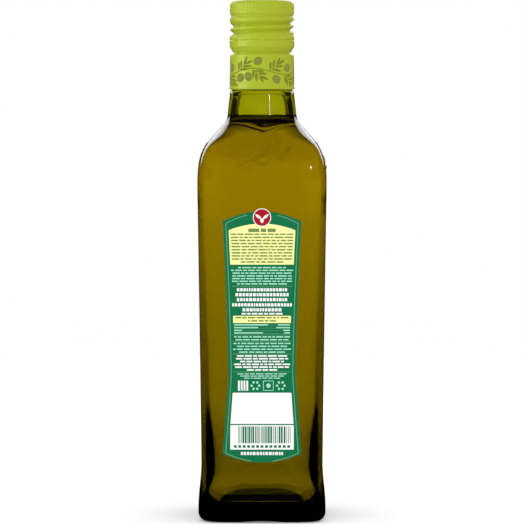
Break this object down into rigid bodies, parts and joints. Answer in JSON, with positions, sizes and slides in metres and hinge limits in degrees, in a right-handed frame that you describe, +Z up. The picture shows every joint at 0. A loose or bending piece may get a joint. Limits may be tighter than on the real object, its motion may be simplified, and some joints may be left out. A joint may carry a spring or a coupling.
{
  "type": "olive oil bottle",
  "caption": "Square, slightly waisted olive-green glass bottle of oil with a round neck, a long roll-on metal closure and a tall paper label on one face.",
  "frame": {"origin": "on the ground under the bottle's axis, at the middle of its footprint", "axes": "+Z up along the bottle's axis, -Y out of the face with the label, +X to the right of that face"},
  "size_m": [0.0634, 0.0634, 0.2535],
  "materials": {
    "glass": "clear olive-green glass, glossy",
    "oil": "clear golden green oil",
    "closure": "satin lacquered aluminium with a printed olive branch",
    "label": "coated paper, printed green with cream and white fields"
  },
  "bodies": {
    "root": {"bottle_glass": "glass", "oil": "oil", "closure": "closure", "label_near": "label"}
  },
  "joints": []
}
